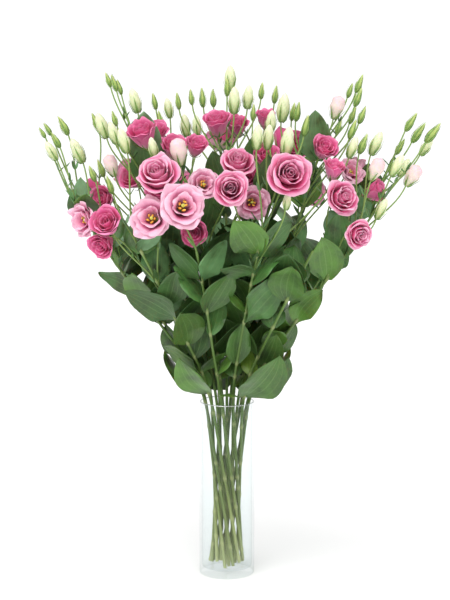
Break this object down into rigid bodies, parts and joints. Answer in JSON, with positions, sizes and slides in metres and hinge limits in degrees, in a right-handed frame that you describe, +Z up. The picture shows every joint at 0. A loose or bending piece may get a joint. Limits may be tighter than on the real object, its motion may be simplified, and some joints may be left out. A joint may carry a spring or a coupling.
{
  "type": "lisianthus flower bunch",
  "caption": "Bunch of pink double lisianthus with buds and leafy stems, standing fanned out in a plain clear glass cylinder vase.",
  "frame": {"origin": "the middle of the vase's flat foot, on the surface it stands on", "axes": "+Z up along the vase's axis, -Y towards the front of the bunch, +X to the right as seen from the front"},
  "size_m": [0.5657, 0.3528, 0.7397],
  "materials": {
    "clear_glass": "clear polished soda glass with a bright fire-polished rim",
    "stem_green": "matt living plant tissue: grey-green stems and leaves with a light waxy bloom, yellow-green buds",
    "petal_light_pink": "soft satin petals, light pink with paler rims and a dark throat",
    "petal_pink": "soft satin petals, pink with deeper folds",
    "petal_deep_pink": "soft satin petals, deep pink with a pale base"
  },
  "bodies": {
    "root": {"flower_cup_02": "petal_deep_pink", "flower_cup_03": "petal_deep_pink", "flower_cup_07": "petal_deep_pink", "flower_cup_08": "petal_deep_pink", "flower_cup_09": "petal_deep_pink", "flower_cup_10": "petal_deep_pink", "flower_cup_11": "petal_deep_pink", "flower_cup_12": "petal_deep_pink", "flower_cup_17": "petal_deep_pink", "flower_cup_18": "petal_deep_pink", "flower_cup_19": "petal_deep_pink", "flower_cup_20": "petal_deep_pink", "flower_cup_23": "petal_deep_pink", "flower_cup_26": "petal_deep_pink", "flower_cup_27": "petal_deep_pink", "flower_cup_28": "petal_deep_pink", "flower_cup_29": "petal_deep_pink", "flower_cup_30": "petal_deep_pink", "flower_cup_31": "petal_deep_pink", "flower_cup_37": "petal_deep_pink", "flower_cup_39": "petal_deep_pink", "flower_open_01": "petal_light_pink", "flower_open_04": "petal_light_pink", "flower_open_05": "petal_light_pink", "flower_open_13": "petal_light_pink", "flower_open_21": "petal_light_pink", "flower_open_25": "petal_light_pink", "flower_open_32": "petal_light_pink", "flower_open_34": "petal_light_pink", "flower_open_38": "petal_light_pink", "flower_rose_06": "petal_pink", "flower_rose_14": "petal_pink", "flower_rose_15": "petal_pink", "flower_rose_16": "petal_pink", "flower_rose_22": "petal_pink", "flower_rose_24": "petal_pink", "flower_rose_33": "petal_pink", "flower_rose_35": "petal_pink", "flower_rose_36": "petal_pink", "stem_01": "stem_green", "stem_02": "stem_green", "stem_03": "stem_green", "stem_04": "stem_green", "stem_05": "stem_green", "stem_06": "stem_green", "stem_07": "stem_green", "stem_08": "stem_green", "stem_09": "stem_green", "stem_10": "stem_green", "stem_11": "stem_green", "stem_12": "stem_green", "stem_13": "stem_green", "stem_14": "stem_green", "stem_15": "stem_green", "stem_16": "stem_green", "stem_17": "stem_green", "stem_18": "stem_green", "stem_19": "stem_green", "vase": "clear_glass"}
  },
  "joints": []
}
